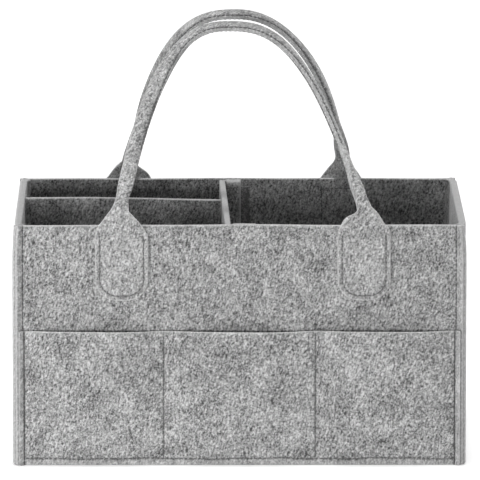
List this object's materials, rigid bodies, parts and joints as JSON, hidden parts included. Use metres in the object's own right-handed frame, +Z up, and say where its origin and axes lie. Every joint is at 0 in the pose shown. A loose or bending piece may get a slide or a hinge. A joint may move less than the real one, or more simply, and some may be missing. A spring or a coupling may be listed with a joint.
{
  "type": "diaper caddy",
  "caption": "Open rectangular felt caddy with sewn outside pockets, arched carrying handles on tabs and removable inner dividers held by hook-and-loop tape.",
  "frame": {"origin": "on the floor under the middle of the box", "axes": "+X along the box's width to the right as seen from the front, +Y from the front to the back, +Z up"},
  "size_m": [0.33, 0.2398, 0.3169],
  "materials": {
    "body_felt": "heathered grey needle felt",
    "pocket_felt": "heathered grey needle felt",
    "handle_felt": "heathered grey needle felt",
    "divider_felt": "heathered grey needle felt",
    "loop_tape": "brushed nylon loop",
    "hook_tape": "nylon hook",
    "sewing_thread": "polyester thread"
  },
  "bodies": {
    "shell": {"front_panel": "body_felt", "back_panel": "body_felt", "left_side_panel": "body_felt", "right_side_panel": "body_felt", "left_side_lining": "body_felt", "right_side_lining": "body_felt", "base_panel": "body_felt", "front_pocket_panel": "pocket_felt", "back_pocket_panel": "pocket_felt", "front_left_tab": "handle_felt", "front_right_tab": "handle_felt", "back_left_tab": "handle_felt", "back_right_tab": "handle_felt", "front_loop_tape": "loop_tape", "back_loop_tape": "loop_tape", "left_loop_tape": "loop_tape", "front_left_corner_thread": "sewing_thread", "front_right_corner_thread": "sewing_thread", "back_left_corner_thread": "sewing_thread", "back_right_corner_thread": "sewing_thread", "front_base_thread": "sewing_thread", "back_base_thread": "sewing_thread", "left_base_thread": "sewing_thread", "right_base_thread": "sewing_thread", "front_left_pocket_thread": "sewing_thread", "front_right_pocket_thread": "sewing_thread", "back_left_pocket_thread": "sewing_thread", "back_right_pocket_thread": "sewing_thread", "front_left_tape_thread": "sewing_thread", "front_right_tape_thread": "sewing_thread", "back_left_tape_thread": "sewing_thread", "back_right_tape_thread": "sewing_thread", "front_left_tab_thread": "sewing_thread", "front_right_tab_thread": "sewing_thread", "back_left_tab_thread": "sewing_thread", "back_right_tab_thread": "sewing_thread"},
    "front_handle": {"front_grip": "handle_felt", "front_grip_thread": "sewing_thread"},
    "back_handle": {"back_grip": "handle_felt", "back_grip_thread": "sewing_thread"},
    "main_divider": {"main_divider_plain_leaf": "divider_felt", "main_divider_flap_leaf": "divider_felt", "main_divider_front_hook_tape": "hook_tape", "main_divider_back_hook_tape": "hook_tape", "main_divider_loop_tape": "loop_tape"},
    "length_divider": {"length_divider_plain_leaf": "divider_felt", "length_divider_flap_leaf": "divider_felt", "length_divider_left_hook_tape": "hook_tape", "length_divider_right_hook_tape": "hook_tape"}
  },
  "joints": [
    {"name": "front_handle_swing", "type": "hinge", "parent": "shell", "child": "front_handle", "pos_m": [0, -0.11439, 0.1795], "axis": [1, 0, 0], "range_deg": [-11, 165]},
    {"name": "back_handle_swing", "type": "hinge", "parent": "shell", "child": "back_handle", "pos_m": [0, 0.11439, 0.1795], "axis": [-1, 0, 0], "range_deg": [-11, 165]},
    {"name": "main_divider_lift", "type": "slide", "parent": "shell", "child": "main_divider", "axis": [0, 0, 1], "range_m": [0, 0.1]},
    {"name": "length_divider_lift", "type": "slide", "parent": "shell", "child": "length_divider", "axis": [0, 0, 1], "range_m": [0, 0.09]}
  ]
}
